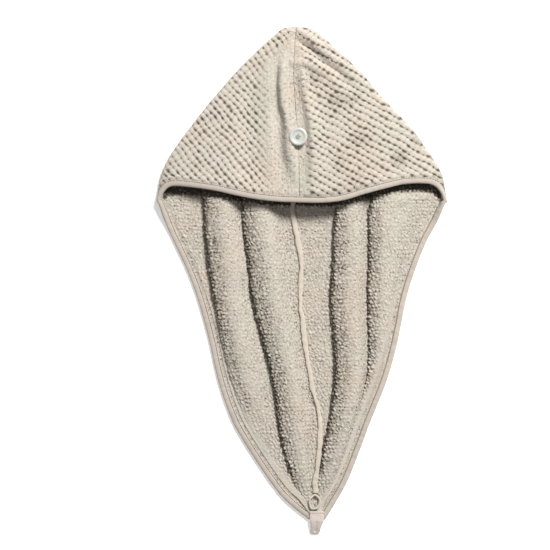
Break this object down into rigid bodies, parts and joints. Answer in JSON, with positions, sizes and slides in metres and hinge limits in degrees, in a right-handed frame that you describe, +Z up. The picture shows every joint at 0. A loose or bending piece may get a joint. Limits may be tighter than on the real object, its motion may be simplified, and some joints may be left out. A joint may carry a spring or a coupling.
{
  "type": "hair turban towel",
  "caption": "Knit turban towel for wet hair, laid flat: a round open hood with a button on its front, tapering into a folded tail with a hanging loop at the tip.",
  "frame": {"origin": "centre of the bounding box in plan, on the flat underside that lies on the table", "axes": "+Y from the tip of the tail towards the top of the hood, +X across to the right as seen from above, +Z up off the table"},
  "size_m": [0.3468, 0.6088, 0.0344],
  "materials": {
    "left_knit": "matte open knit",
    "right_knit": "matte open knit",
    "binding": "smooth woven tape",
    "seam_tape": "smooth woven tape",
    "seam_curl": "smooth woven tape",
    "loop_tape": "smooth woven tape",
    "button_plastic": "pale translucent, polished",
    "button_thread": "twisted thread"
  },
  "bodies": {
    "root": {"left_panel": "left_knit", "right_panel": "right_knit", "edge_binding": "binding", "seam_binding": "seam_tape", "seam_end_curl": "seam_curl", "hanging_loop": "loop_tape", "button": "button_plastic", "button_thread": "button_thread"}
  },
  "joints": []
}
